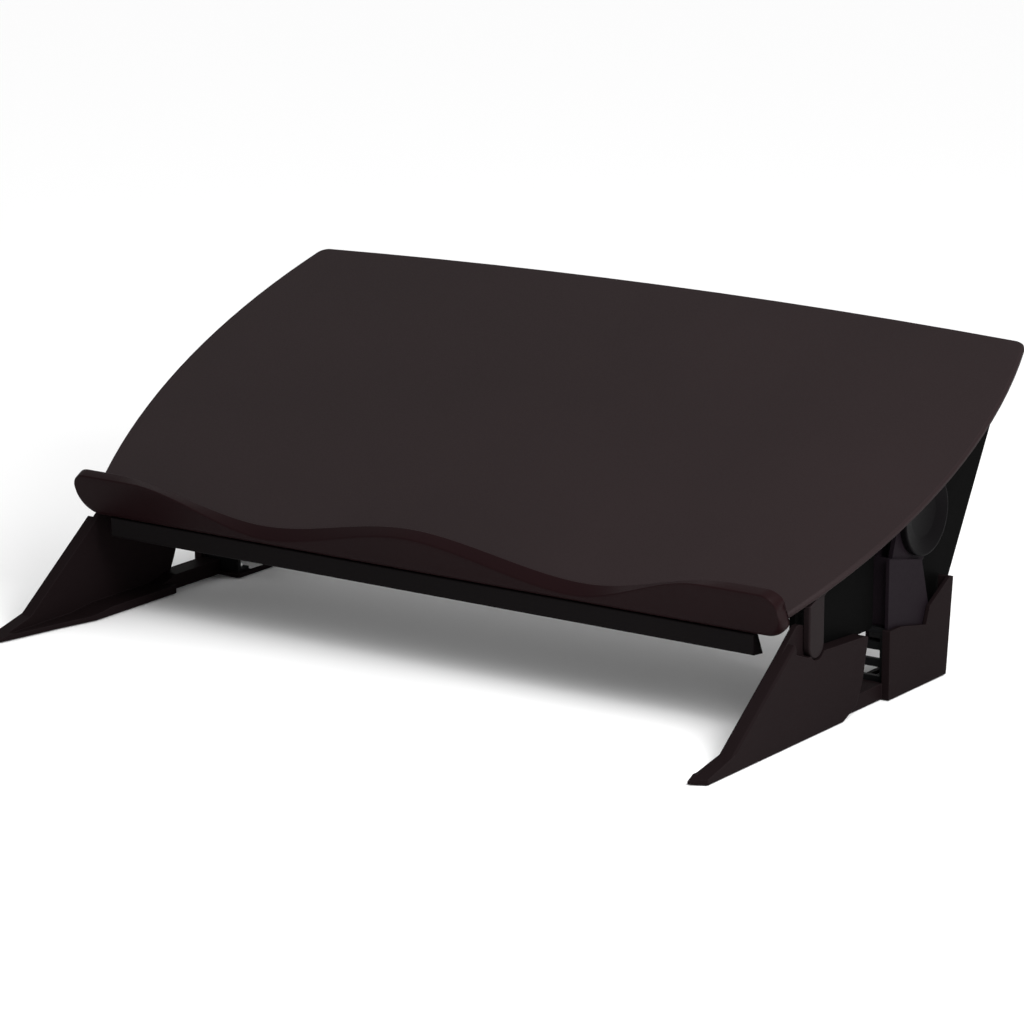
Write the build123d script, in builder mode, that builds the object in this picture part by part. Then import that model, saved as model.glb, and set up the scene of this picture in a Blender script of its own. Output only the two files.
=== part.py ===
"""Desk document holder with a shallow drawer and two height-adjustable legs.

Frame: X to the user's right, Y away from the user, Z up from the desk. The
origin is the centre of the footprint box on the desk. Lengths in millimetres.
Side profiles are drawn in (y, z) with y counted from the page stop line, and
everything on the sloping board in (x, s) or (s, h): s runs up the slope from
the page stop, h stands square to the board, with 0 at the reading surface.
"""
import os
from math import cos, pi, radians, sin, sqrt, tan

from build123d import *

# ---- driving dimensions -------------------------------------------------
TILT = 24.3              # slope of the board at its steepest setting, degrees
STOP_HEIGHT = 73.2       # page stop line above the desk
TOE_REACH = 92.0         # toe tips ahead of the page stop line

BOARD_HALF = 279.0       # half width where the bowed sides are widest
BOARD_LENGTH = 287.0     # up the slope to the middle of the back edge
BOARD_CORNER_S = 278.0   # up the slope to the back corners
BOARD_WIDEST_S = 157.0   # up the slope to the widest place
BOARD_SIDE_R = 407.0     # radius of the bowed sides
BOARD_CORNER_R = 9.0
BOARD_T = 5.0
PANEL_POCKET = 2.0       # depth of the pockets moulded between the underside ribs
RIB_W = 8.0

LEDGE_HALF = 254.0       # half width of the wavy page ledge
LEDGE_DEPTH = 8.0        # from its back wall at the page stop to its front
# each top edge of the ledge: crest in the middle, dip, crest towards the end
BACK_CREST, BACK_DIP, BACK_END = 18.5, 0.8, 20.9
BACK_DIP_X, BACK_END_X = 116.0, 225.0
FRONT_CREST, FRONT_DIP, FRONT_END = 16.6, -3.4, 21.5
FRONT_DIP_X, FRONT_END_X = 112.0, 205.0
LEDGE_ROLL = 6.0         # radius that rolls the face under
LEDGE_LOW = 10.5         # underside of the ledge below the reading surface
LEDGE_FOOT = 12.0        # foot that reaches back under the board
LEDGE_TOP_R, LEDGE_END_R = 10.0, 13.0    # rounding of its ends, above and below

DRAWER_TRAVEL = 100.0
DRAWER_FRONT_HALF = 232.0
DRAWER_FRONT_Y = -2.9        # upright front face, from the page stop line
DRAWER_FRONT_LOW = 50.0      # its lower edge above the desk
DRAWER_FRONT_WALL = 2.4
TRAY_HALF = 213.5
TRAY_LENGTH = 208.0
TRAY_TOP = 11.5              # rim below the reading surface
TRAY_BOTTOM = 25.0
TRAY_WALL = 2.0
RIM_W = 5.0                  # outward rim that hangs in the runner
RIM_T = 1.8

BRACKET_OUT = 246.5      # outer face of the side plates
BRACKET_T = 4.0
BRACKET_FLANGE_W = 15.5
BRACKET_FLANGE_T = 3.0
BRACKET_LOW = 43.5       # lower edge of the side plates above the desk

LEG_OUT = 256.0          # outer face of the legs
UPRIGHT_T = 8.8
LUG_T = 3.6              # inner layer of the upright, which holds the pivot
SOLE_W = 26.0
TOE_W = 10.0             # the sole narrows to this at the toe
SOLE_T = 2.8
HOUSING_W = 36.0
HOUSING_FRONT = 108.0    # rear housing, from the page stop line
HOUSING_REAR = 175.0
HOUSING_WALL = 2.5
PAD_PROUD = 0.8          # leg underside above the desk
PAD_T = 2.8

PIVOT_Y, PIVOT_Z = 27.0, 53.0
PIVOT_R = 4.5
EAR_R = 8.0              # the ear outside the leg's lug
HUB_Y, HUB_Z = 150.0, 103.0
HUB_R = 25.0
HUB_PIN_R = 4.0
FIT = 0.05               # radial clearance of pins in their bores
GAP = 0.3                # between faces that slide past each other

LADDER_Y = 112.0         # front face of the slotted plate
LADDER_T = 3.0
LADDER_TOP = 42.0
SLOT_FIRST = 15.5        # centre of the lowest slot
SLOT_PITCH = 10.2
SLOT_H = 5.5
SLOT_COUNT = 3
LATCH_TONGUE_T = 3.5

SCREW_R = 1.5
HEAD_R = 3.0
HEAD_H = 2.0
SCREW_BITE = 3.2         # how far a screw goes into what it holds

# ---- frames -------------------------------------------------------------
SLOPE_COS, SLOPE_SIN = cos(radians(TILT)), sin(radians(TILT))
rear_reach = BOARD_LENGTH * SLOPE_COS + BOARD_T * SLOPE_SIN
STOP_Y = (TOE_REACH - rear_reach) / 2      # page stop line in the part's frame

board_plane = Plane(
    origin=(0, STOP_Y, STOP_HEIGHT), x_dir=(1, 0, 0), z_dir=(0, -SLOPE_SIN, SLOPE_COS)
)


def side_plane(x):
    """Vertical plane at x: local x is y from the page stop line, local y is z."""
    return Plane(origin=(x, STOP_Y, 0), x_dir=(0, 1, 0), z_dir=(1, 0, 0))


def slope_section(x):
    """Plane at x square to the board's width: local x is s, local y is h."""
    return Plane(
        origin=(x, STOP_Y, STOP_HEIGHT), x_dir=(0, SLOPE_COS, SLOPE_SIN), z_dir=(1, 0, 0)
    )


def slope_face(s):
    """Plane across the slope at s, facing the user: local x is x, local y is h."""
    return Plane(
        origin=(0, STOP_Y + s * SLOPE_COS, STOP_HEIGHT + s * SLOPE_SIN),
        x_dir=(1, 0, 0),
        z_dir=(0, -SLOPE_COS, -SLOPE_SIN),
    )


def level_plane(z):
    """Horizontal plane at z with y counted from the page stop line."""
    return Plane(origin=(0, STOP_Y, z), x_dir=(1, 0, 0), z_dir=(0, 0, 1))


def under_board(y, depth=0.0):
    """Height of a plane that lies depth below the board's underside, at y."""
    return STOP_HEIGHT + y * tan(radians(TILT)) - (BOARD_T + depth) / SLOPE_COS


def save(shape, name):
    shape.label = name
    export_step(shape, f"parts/{name}.step")


def save_pair(shape, name):
    """Write the right-hand piece and its mirror image."""
    save(shape, f"{name}_right")
    save(mirror(shape, about=Plane.YZ), f"{name}_left")


def both_sides(x, rows):
    return [(side * x, s) for side in (-1, 1) for s in rows]


os.makedirs("parts", exist_ok=True)

# ---- reading board ------------------------------------------------------


def side_half_width(s):
    """Half width of the board at s: the sides are arcs that bow outwards."""
    return BOARD_HALF - BOARD_SIDE_R + sqrt(BOARD_SIDE_R**2 - (s - BOARD_WIDEST_S) ** 2)


front_half = side_half_width(0)
back_half = side_half_width(BOARD_CORNER_S)
stop_s = 98.7            # middle of the drawer stop, on the rib between two rows of pockets
pocket_pitch = 82.0
flange_screw_x = BRACKET_OUT - BRACKET_FLANGE_W + HEAD_R + 1.5
flange_screw_rows = (42.0, 140.0, 232.0)
runner_out = TRAY_HALF + RIM_W + GAP + 2.5       # outer face of the runner's wall
runner_screw_x = runner_out + HEAD_R + 1.0
runner_rows = (24.0, 108.0, 192.0)
ledge_screw_xs = (-200.0, -100.0, 0.0, 100.0, 200.0)
ledge_screw_s = LEDGE_FOOT / 2 + 1.5
ear_screw = (251.3, 58.0)
board_holes = (
    both_sides(flange_screw_x, flange_screw_rows)
    + both_sides(ear_screw[0], (ear_screw[1],))
    + both_sides(runner_screw_x, runner_rows)
    + [(x, ledge_screw_s) for x in ledge_screw_xs]
    + [(-12.0, stop_s), (12.0, stop_s)]
)

with BuildPart() as reading_board:
    with BuildSketch(board_plane):
        with BuildLine():
            Line((-front_half, 0), (front_half, 0))
            ThreePointArc((front_half, 0), (BOARD_HALF, BOARD_WIDEST_S), (back_half, BOARD_CORNER_S))
            ThreePointArc((back_half, BOARD_CORNER_S), (0, BOARD_LENGTH), (-back_half, BOARD_CORNER_S))
            ThreePointArc((-back_half, BOARD_CORNER_S), (-BOARD_HALF, BOARD_WIDEST_S), (-front_half, 0))
        make_face()
    extrude(amount=-BOARD_T)
    corners = reading_board.edges().filter_by(Axis((0, 0, 0), board_plane.z_dir))
    fillet(corners.sort_by(Axis.Y)[-2:], BOARD_CORNER_R)
    top = reading_board.faces().sort_by(Axis((0, 0, 0), board_plane.z_dir))[-1]
    chamfer(top.edges().filter_by(Axis.X, reverse=True), 1.2)
    under = reading_board.faces().sort_by(Axis((0, 0, 0), board_plane.z_dir))[0]
    chamfer(under.edges().filter_by(Axis.X, reverse=True), 2.2)
    with BuildSketch(board_plane.offset(-BOARD_T)):
        with Locations((0, stop_s + pocket_pitch / 2)):
            with GridLocations(pocket_pitch, pocket_pitch, 5, 3):
                RectangleRounded(pocket_pitch - RIB_W, pocket_pitch - RIB_W, 6)
    extrude(amount=PANEL_POCKET, mode=Mode.SUBTRACT)
    with BuildSketch(board_plane.offset(-BOARD_T)):
        with Locations(*board_holes):
            Circle(SCREW_R + FIT)
    extrude(amount=SCREW_BITE + 0.1, mode=Mode.SUBTRACT)
save(reading_board.part, "reading_board")

# ---- wavy page ledge ----------------------------------------------------
wall_foot = -LEDGE_LOW + LEDGE_ROLL      # where the wavy wall stands on the rolled bar


def wave(x, crest, dip_x, dip, end_x, end):
    """Height of a top edge at x: half a wave down to the dip, another up to the end."""
    x = abs(x)
    if x < dip_x:
        return (crest + dip) / 2 + (crest - dip) / 2 * cos(pi * x / dip_x)
    up = min((x - dip_x) / (end_x - dip_x), 1.0)
    return (end + dip) / 2 - (end - dip) / 2 * cos(pi * up)


def ledge_profile(s, edges, end_trim):
    """Front view of the wavy wall at s, closed along the top of the rolled bar."""
    edge = LEDGE_HALF - end_trim
    reach = edge - LEDGE_TOP_R
    steps = 22
    xs = [reach * (2 * i / steps - 1) for i in range(steps + 1)]
    crest = [(x, wave(x, *edges)) for x in xs]
    shoulder = crest[-1][1] - LEDGE_TOP_R
    bulge = 0.71 * LEDGE_TOP_R
    with BuildSketch(slope_face(s)) as profile:
        with BuildLine():
            Spline(*crest)
            ThreePointArc(crest[-1], (reach + bulge, shoulder + bulge), (edge, shoulder))
            Polyline((edge, shoulder), (edge, wall_foot), (-edge, wall_foot), (-edge, shoulder))
            ThreePointArc((-edge, shoulder), (-reach - bulge, shoulder + bulge), crest[0])
        make_face()
    return profile.sketch


back_edge = (BACK_CREST, BACK_DIP_X, BACK_DIP, BACK_END_X, BACK_END)
front_edge = (FRONT_CREST, FRONT_DIP_X, FRONT_DIP, FRONT_END_X, FRONT_END)
back_profile = ledge_profile(0, back_edge, 0)
front_profile = ledge_profile(-LEDGE_DEPTH, front_edge, 1.5)
foot_trim = 2 * (LEDGE_HALF - front_half + 22)
with BuildPart() as page_ledge:
    loft(sections=[back_profile, front_profile])
    with BuildSketch(slope_section(-LEDGE_HALF)):
        with BuildLine():
            Line((0, wall_foot), (-LEDGE_DEPTH, wall_foot))
            RadiusArc((-LEDGE_DEPTH, wall_foot), (-LEDGE_DEPTH + LEDGE_ROLL, -LEDGE_LOW), -LEDGE_ROLL)
            Polyline(
                (-LEDGE_DEPTH + LEDGE_ROLL, -LEDGE_LOW),
                (LEDGE_FOOT, -LEDGE_LOW),
                (LEDGE_FOOT, -BOARD_T),
                (0, -BOARD_T),
                (0, wall_foot),
            )
        make_face()
    extrude(amount=2 * LEDGE_HALF)
    # the foot is trimmed to stay under the board's narrower front
    with BuildSketch(board_plane.offset(-BOARD_T)):
        with Locations((-LEDGE_HALF, LEDGE_FOOT / 2), (LEDGE_HALF, LEDGE_FOOT / 2)):
            Rectangle(foot_trim, LEDGE_FOOT)
    extrude(amount=-LEDGE_LOW, mode=Mode.SUBTRACT)
    # the ends are rounded below as well
    with BuildSketch(slope_face(LEDGE_FOOT)):
        with Locations((0, 40 - LEDGE_LOW)):
            RectangleRounded(2 * LEDGE_HALF, 80, LEDGE_END_R)
    extrude(amount=LEDGE_FOOT + LEDGE_DEPTH, mode=Mode.INTERSECT)
    with BuildSketch(board_plane.offset(-LEDGE_LOW)):
        with Locations(*[(x, ledge_screw_s) for x in ledge_screw_xs]):
            Circle(SCREW_R + FIT)
    extrude(amount=LEDGE_LOW - BOARD_T, mode=Mode.SUBTRACT)
save(page_ledge.part, "page_ledge")

# ---- drawer -------------------------------------------------------------
front_back_s = -3.2                  # where the front meets the tray
front_screw_xs = (-160.0, -55.0, 55.0, 160.0)
front_screw_h = -(TRAY_TOP + TRAY_BOTTOM) / 2


def on_slope(s, h):
    """(y, z) of a point given along and square to the slope."""
    return s * SLOPE_COS - h * SLOPE_SIN, STOP_HEIGHT + s * SLOPE_SIN + h * SLOPE_COS


back_top = on_slope(front_back_s, -LEDGE_LOW - 0.6)
back_low = on_slope(front_back_s, -TRAY_BOTTOM - 0.3)
front_top_z = back_top[1] + 0.4
wall = DRAWER_FRONT_WALL
boss_half = 8.0
boss_xs = (-DRAWER_FRONT_HALF + wall - boss_half,) + front_screw_xs + (DRAWER_FRONT_HALF - wall + boss_half,)
with BuildPart() as drawer_front:
    with BuildSketch(side_plane(-DRAWER_FRONT_HALF)):
        with BuildLine():
            Polyline(
                (DRAWER_FRONT_Y, DRAWER_FRONT_LOW), (DRAWER_FRONT_Y, front_top_z), back_top, back_low,
                close=True,
            )
        make_face()
    extrude(amount=2 * DRAWER_FRONT_HALF)
    face = drawer_front.faces().sort_by(Axis.Y)[0]
    fillet(face.edges(), 0.8)
    # hollow behind the face and open below, with a solid boss round each screw
    for left, right in zip(boss_xs, boss_xs[1:]):
        with BuildSketch(side_plane(left + boss_half)):
            with BuildLine():
                Polyline(
                    (DRAWER_FRONT_Y + wall, DRAWER_FRONT_LOW - 4),
                    (DRAWER_FRONT_Y + wall, front_top_z - 4.6),
                    on_slope(front_back_s, -TRAY_TOP - 4),
                    on_slope(front_back_s, -TRAY_BOTTOM - 5),
                    close=True,
                )
            make_face()
        extrude(amount=right - left - 2 * boss_half, mode=Mode.SUBTRACT)
    with BuildSketch(slope_face(front_back_s)):
        with Locations(*[(x, front_screw_h) for x in front_screw_xs]):
            Circle(SCREW_R + FIT)
    extrude(amount=SCREW_BITE - 0.4, mode=Mode.SUBTRACT)
save(drawer_front.part, "drawer_front")

tray_back_s = front_back_s + TRAY_LENGTH
tab_half = 14.0
tab_top = 7.2
divider_s = 62.0
divider_t = 1.6

with BuildPart() as drawer_tray:
    tray_height = TRAY_BOTTOM - TRAY_TOP
    with BuildSketch(board_plane.offset(-TRAY_BOTTOM)):
        with Locations((0, front_back_s + TRAY_LENGTH / 2)):
            Rectangle(2 * TRAY_HALF, TRAY_LENGTH)
    extrude(amount=tray_height)
    with BuildSketch(board_plane.offset(-TRAY_BOTTOM + TRAY_WALL)):
        with Locations((0, front_back_s + TRAY_LENGTH / 2)):
            RectangleRounded(2 * (TRAY_HALF - TRAY_WALL), TRAY_LENGTH - 2 * TRAY_WALL, 3)
    extrude(amount=tray_height, mode=Mode.SUBTRACT)
    # rims that hang in the runners
    with BuildSketch(board_plane.offset(-TRAY_TOP)):
        for side in (-1, 1):
            with Locations((side * (TRAY_HALF + RIM_W / 2), tray_back_s - 5 - 190 / 2)):
                Rectangle(RIM_W, 190)
    extrude(amount=-RIM_T)
    # low divider for pens, and the tab that meets the stop
    with BuildSketch(board_plane.offset(-TRAY_BOTTOM + TRAY_WALL)):
        with Locations((0, divider_s)):
            Rectangle(2 * (TRAY_HALF - TRAY_WALL), divider_t)
    extrude(amount=7)
    with BuildSketch(board_plane.offset(-TRAY_TOP)):
        with Locations((0, tray_back_s - TRAY_WALL / 2)):
            Rectangle(2 * tab_half, TRAY_WALL)
    extrude(amount=TRAY_TOP - tab_top)
    with BuildSketch(slope_face(front_back_s)):
        with Locations(*[(x, front_screw_h) for x in front_screw_xs]):
            Circle(SCREW_R + FIT)
    extrude(amount=-TRAY_WALL, mode=Mode.SUBTRACT)
save(drawer_tray.part, "drawer_tray")

runner_front_s = 14.0
runner_back_s = tray_back_s - 2.0
runner_length = runner_back_s - runner_front_s
shelf_top = TRAY_TOP + RIM_T + GAP
runner_flange_w = 8.0

with BuildPart() as runner_right:
    with BuildSketch(slope_face(runner_back_s)):
        with BuildLine():
            Polyline(
                (runner_out + runner_flange_w, -BOARD_T),
                (runner_out + runner_flange_w, -BOARD_T - 2),
                (runner_out, -BOARD_T - 2),
                (runner_out, -shelf_top - 2.4),
                (TRAY_HALF + GAP + 0.2, -shelf_top - 2.4),
                (TRAY_HALF + GAP + 0.2, -shelf_top),
                (runner_out - 2.5, -shelf_top),
                (runner_out - 2.5, -BOARD_T),
                close=True,
            )
        make_face()
    extrude(amount=runner_length)
    with BuildSketch(board_plane.offset(-BOARD_T)):
        with Locations(*[(runner_screw_x, s) for s in runner_rows]):
            Circle(SCREW_R + FIT)
    extrude(amount=-2, mode=Mode.SUBTRACT)
save_pair(runner_right.part, "drawer_runner")

stop_back_s = tray_back_s - TRAY_WALL - DRAWER_TRAVEL - GAP
with BuildPart() as drawer_stop:
    with BuildSketch(board_plane.offset(-BOARD_T)):
        with Locations((0, stop_s)):
            Rectangle(36, 2 * (stop_back_s - stop_s))
    extrude(amount=-(TRAY_TOP - BOARD_T - 0.7))
    fillet(drawer_stop.edges().filter_by(Axis((0, 0, 0), board_plane.z_dir)), 2)
    stop_drop = TRAY_TOP - BOARD_T - 0.7
    with BuildSketch(board_plane.offset(-BOARD_T)):
        with Locations((-12, stop_s), (12, stop_s)):
            Circle(SCREW_R + FIT)
    extrude(amount=-stop_drop, mode=Mode.SUBTRACT)
    with BuildSketch(board_plane.offset(-BOARD_T - stop_drop)):
        with Locations((-12, stop_s), (12, stop_s)):
            Circle(HEAD_R + 0.2)
    extrude(amount=HEAD_H + 0.2, mode=Mode.SUBTRACT)
save(drawer_stop.part, "drawer_stop")

# ---- side plates under the board ---------------------------------------
plate_in = BRACKET_OUT - BRACKET_T
window_front = HOUSING_FRONT - 4.0       # arched window that the lift arm stands in
window_rear = HUB_Y + 8.0
window_top = HUB_Z - 13.0
plate_front = PIVOT_Y - 9.0
plate_toe = HOUSING_REAR + 10.0          # lower rear corner
plate_tail = (BOARD_CORNER_S - 4.0) * SLOPE_COS
plate_tail_z = 157.5

with BuildPart() as bracket_right:
    with BuildSketch(side_plane(plate_in)):
        with BuildLine():
            Polyline(
                (plate_front, under_board(plate_front)),
                (plate_front, PIVOT_Z),
                (PIVOT_Y, BRACKET_LOW),
                (window_front, BRACKET_LOW),
                (window_front, window_top),
                (window_rear, window_top),
                (window_rear, BRACKET_LOW),
                (plate_toe, BRACKET_LOW),
                (plate_tail, plate_tail_z),
                (plate_tail, under_board(plate_tail)),
                close=True,
            )
        make_face()
        with Locations((PIVOT_Y, PIVOT_Z)):
            Circle(9)
    extrude(amount=BRACKET_T)
    arch = bracket_right.edges().filter_by(Axis.X).filter_by_position(
        Axis.Z, window_top - 0.5, window_top + 0.5
    )
    fillet(arch, 7)
    feet = bracket_right.edges().filter_by(Axis.X).filter_by_position(
        Axis.Z, BRACKET_LOW - 0.1, BRACKET_LOW + 0.1
    )
    fillet(feet.sort_by(Axis.Y)[-3:], 4)
    # flange screwed up against the board
    flange_front, flange_back = 16.0, BOARD_CORNER_S - 6.0
    with BuildSketch(board_plane.offset(-BOARD_T)):
        with Locations((BRACKET_OUT - BRACKET_FLANGE_W / 2, (flange_front + flange_back) / 2)):
            Rectangle(BRACKET_FLANGE_W, flange_back - flange_front)
    extrude(amount=-BRACKET_FLANGE_T)
    # boss that keeps the lift arm's cheeks apart
    with BuildSketch(side_plane(plate_in - 1.6)):
        with Locations((HUB_Y, HUB_Z)):
            Circle(9)
    extrude(amount=BRACKET_T + 2.4)
    with BuildSketch(side_plane(plate_in - 5)):
        with Locations((HUB_Y, HUB_Z)):
            Circle(HUB_PIN_R + FIT)
        with Locations((PIVOT_Y, PIVOT_Z)):
            Circle(PIVOT_R + FIT)
    extrude(amount=BRACKET_T + 10, mode=Mode.SUBTRACT)
    with BuildSketch(board_plane.offset(-BOARD_T)):
        with Locations(*[(flange_screw_x, s) for s in flange_screw_rows]):
            Circle(SCREW_R + FIT)
    extrude(amount=-BRACKET_FLANGE_T, mode=Mode.SUBTRACT)
save_pair(bracket_right.part, "bracket")

# ---- legs ---------------------------------------------------------------
upright_in = LEG_OUT - UPRIGHT_T
sole_in = LEG_OUT - SOLE_W
housing_in = LEG_OUT - HOUSING_W
bridge_out = LEG_OUT - 5.0
bridge_in = bridge_out - 14.0
bridge_front = 57.0
wall_in = LEG_OUT - HOUSING_WALL
web_slot_half = BRACKET_T / 2 + 0.8      # the side plate drops through this slot
web_mid = BRACKET_OUT - BRACKET_T / 2
wing_y, wing_z = 178.0, 60.0             # tip of the housing's rear wing
housing_lean = (wing_y + 3 - HOUSING_REAR) / wing_z
pad_depth = PAD_T - PAD_PROUD
pad_spots = ((249.5, -70.0), (sole_in + SOLE_W / 2, 36.0), (238.0, 165.0))
pad_sizes = ((9.0, 14.0), (16.0, 14.0), (28.0, 12.0))
# outline of the wedge: up the front slope, then down the rear edge
wedge_slope = [(-84, PAD_PROUD), (-84, 4.4), (-62, 9.8), (-6.3, 51.6)]
wedge_rear = [(37, 48), (81, 45.6), (83, 44.5), (78, 22), (76, 17), (71, 7), (bridge_front, PAD_PROUD)]
lug_top = [(12.4, 66.5), (16, 66.5), (34, 60)]
ear_notch = [(1.5, 57.5), (3, 58.6), (4, 52.5), (17, 47.8)]
base_t = 2.2
ladder_in = housing_in + 4.0
ladder_out = LEG_OUT - 5.5
ladder_foot = 8.0
ladder_screw_xs = (ladder_in + 6.0, ladder_out - 6.0)
ladder_screw_y = LADDER_Y + LADDER_T + ladder_foot / 2 + 0.6

with BuildPart() as leg_right:
    # long sole that narrows to a raised toe
    with BuildSketch(level_plane(PAD_PROUD)):
        with BuildLine():
            Polyline(
                (LEG_OUT, bridge_front),
                (LEG_OUT, 5.2 - TOE_REACH),
                (LEG_OUT - TOE_W, -TOE_REACH),
                (236.5, -45),
                (sole_in, -20),
                (sole_in, bridge_front),
                close=True,
            )
        make_face()
    extrude(amount=10)
    with BuildSketch(side_plane(sole_in)):
        with BuildLine():
            Polyline(
                (-TOE_REACH, PAD_PROUD),
                (-TOE_REACH, 2.4),
                (-84, 4.4),
                (-78, PAD_PROUD + SOLE_T),
                (-25, 3.8),
                (-5, 6),
                (bridge_front, 6),
                (bridge_front, PAD_PROUD),
                close=True,
            )
        make_face()
    extrude(amount=SOLE_W, mode=Mode.INTERSECT)
    # wedge in two layers: the inner one has the pivot lug, the outer is notched for the ear
    with BuildSketch(side_plane(upright_in)):
        with BuildLine():
            Polyline(*wedge_slope, *lug_top, *wedge_rear, close=True)
        make_face()
    extrude(amount=LUG_T)
    with BuildSketch(side_plane(upright_in + LUG_T)):
        with BuildLine():
            Polyline(*wedge_slope, *ear_notch, *wedge_rear, close=True)
        make_face()
        with Locations((PIVOT_Y, PIVOT_Z)):
            Circle(EAR_R + 0.8, mode=Mode.SUBTRACT)
    extrude(amount=UPRIGHT_T - LUG_T)
    slope_edge = leg_right.edges().filter_by(GeomType.LINE).filter_by(
        lambda e: e.length > 60 and e.center().X > upright_in + 4 and 15 < e.center().Z < 40
    )
    fillet(slope_edge, 1.5)
    # low bridge from the wedge to the rear housing
    with BuildSketch(side_plane(bridge_in)):
        with BuildLine():
            Polyline(
                (bridge_front - 6, PAD_PROUD),
                (bridge_front - 6, 6),
                (66, 10),
                (HOUSING_FRONT + 2, 10),
                (HOUSING_FRONT + 2, PAD_PROUD),
                close=True,
            )
        make_face()
    extrude(amount=bridge_out - bridge_in)
    # floor frame of the rear housing, open in the middle
    with BuildSketch(level_plane(PAD_PROUD)):
        with Locations((LEG_OUT - HOUSING_W / 2, (HOUSING_FRONT + HOUSING_REAR) / 2)):
            Rectangle(HOUSING_W, HOUSING_REAR - HOUSING_FRONT)
        well_front = LADDER_Y + LADDER_T + ladder_foot + 1
        well_rear = HOUSING_REAR - 19
        with Locations(((housing_in + 3 + wall_in) / 2, (well_front + well_rear) / 2)):
            Rectangle(wall_in - housing_in - 3, well_rear - well_front, mode=Mode.SUBTRACT)
    extrude(amount=base_t)
    # outer wall with the seam line and the rear wing
    with BuildSketch(side_plane(wall_in)):
        with BuildLine():
            Polyline(
                (HOUSING_FRONT, PAD_PROUD),
                (HOUSING_FRONT, 42),
                (121, 42),
                (HUB_Y, 36.5),
                (154, 47),
                (wing_y, wing_z),
                (wing_y + 3, wing_z - 1),
                (HOUSING_REAR, PAD_PROUD),
                close=True,
            )
        make_face()
    extrude(amount=HOUSING_WALL)
    # front post beside the slotted plate
    with BuildSketch(side_plane(ladder_out + 0.3)):
        with BuildLine():
            Polyline(
                (HOUSING_FRONT, PAD_PROUD), (HOUSING_FRONT, 42), (HOUSING_FRONT + 2.2, 42),
                (HOUSING_FRONT + 2.2, PAD_PROUD), close=True,
            )
        make_face()
    extrude(amount=wall_in - ladder_out - 0.3)
    # rear wall, slotted for the side plate
    with BuildSketch(side_plane(housing_in)):
        with BuildLine():
            Polyline(
                (HOUSING_REAR, PAD_PROUD),
                (wing_y + 3, wing_z - 1),
                (wing_y + 3 - HOUSING_WALL, wing_z - 1),
                (HOUSING_REAR - HOUSING_WALL, PAD_PROUD),
                close=True,
            )
        make_face()
    extrude(amount=wall_in - housing_in)
    with BuildSketch(side_plane(web_mid - web_slot_half)):
        with Locations((HOUSING_REAR, 10 + 30)):
            Rectangle(20, 60)
    extrude(amount=2 * web_slot_half, mode=Mode.SUBTRACT)
    with BuildSketch(side_plane(housing_in)):
        with Locations((HOUSING_REAR, 38 + 15)):
            Rectangle(20, 30)
    extrude(amount=web_mid - web_slot_half - housing_in, mode=Mode.SUBTRACT)
    # pivot bore, pad pockets and screw holes
    with BuildSketch(side_plane(upright_in)):
        with Locations((PIVOT_Y, PIVOT_Z)):
            Circle(PIVOT_R + FIT)
    extrude(amount=UPRIGHT_T, mode=Mode.SUBTRACT)
    with BuildSketch(level_plane(PAD_PROUD)):
        for spot, pad_size in zip(pad_spots[:2], pad_sizes):
            with Locations(spot):
                RectangleRounded(*pad_size, 3)
    extrude(amount=pad_depth, mode=Mode.SUBTRACT)
    with BuildSketch(level_plane(PAD_PROUD)):
        with Locations(*[(x, ladder_screw_y) for x in ladder_screw_xs]):
            Circle(SCREW_R + FIT)
    extrude(amount=base_t, mode=Mode.SUBTRACT)
save_pair(leg_right.part, "leg")

with BuildPart() as foot_pads_right:
    with BuildSketch(level_plane(0)):
        for spot, pad_size in zip(pad_spots[:2], pad_sizes):
            with Locations(spot):
                RectangleRounded(*pad_size, 3)
    extrude(amount=PAD_T)
    with BuildSketch(level_plane(0)):
        with Locations(pad_spots[2]):
            RectangleRounded(*pad_sizes[2], 3)
    extrude(amount=PAD_PROUD)
save_pair(foot_pads_right.part, "foot_pads")

# ---- slotted plate that the latch locks into ---------------------------
slot_mid_x = (ladder_in + ladder_out) / 2
slot_w = ladder_out - ladder_in - 7
base_top = PAD_PROUD + base_t
with BuildPart() as ladder_right:
    with BuildSketch(side_plane(ladder_in)):
        with BuildLine():
            Polyline(
                (LADDER_Y, base_top),
                (LADDER_Y, LADDER_TOP),
                (LADDER_Y + LADDER_T, LADDER_TOP),
                (LADDER_Y + LADDER_T, base_top + 2),
                (LADDER_Y + LADDER_T + ladder_foot, base_top + 2),
                (LADDER_Y + LADDER_T + ladder_foot, base_top),
                close=True,
            )
        make_face()
    extrude(amount=ladder_out - ladder_in)
    slot_rows = [SLOT_FIRST + i * SLOT_PITCH for i in range(SLOT_COUNT)]
    with BuildSketch(Plane(origin=(0, STOP_Y + LADDER_Y, 0), x_dir=(1, 0, 0), z_dir=(0, -1, 0))):
        with Locations(*[(slot_mid_x, z) for z in slot_rows]):
            Rectangle(slot_w, SLOT_H)
    extrude(amount=-LADDER_T, mode=Mode.SUBTRACT)
    with BuildSketch(level_plane(base_top)):
        with Locations(*[(x, ladder_screw_y) for x in ladder_screw_xs]):
            Circle(SCREW_R + FIT)
    extrude(amount=2, mode=Mode.SUBTRACT)
save_pair(ladder_right.part, "ladder")

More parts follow.
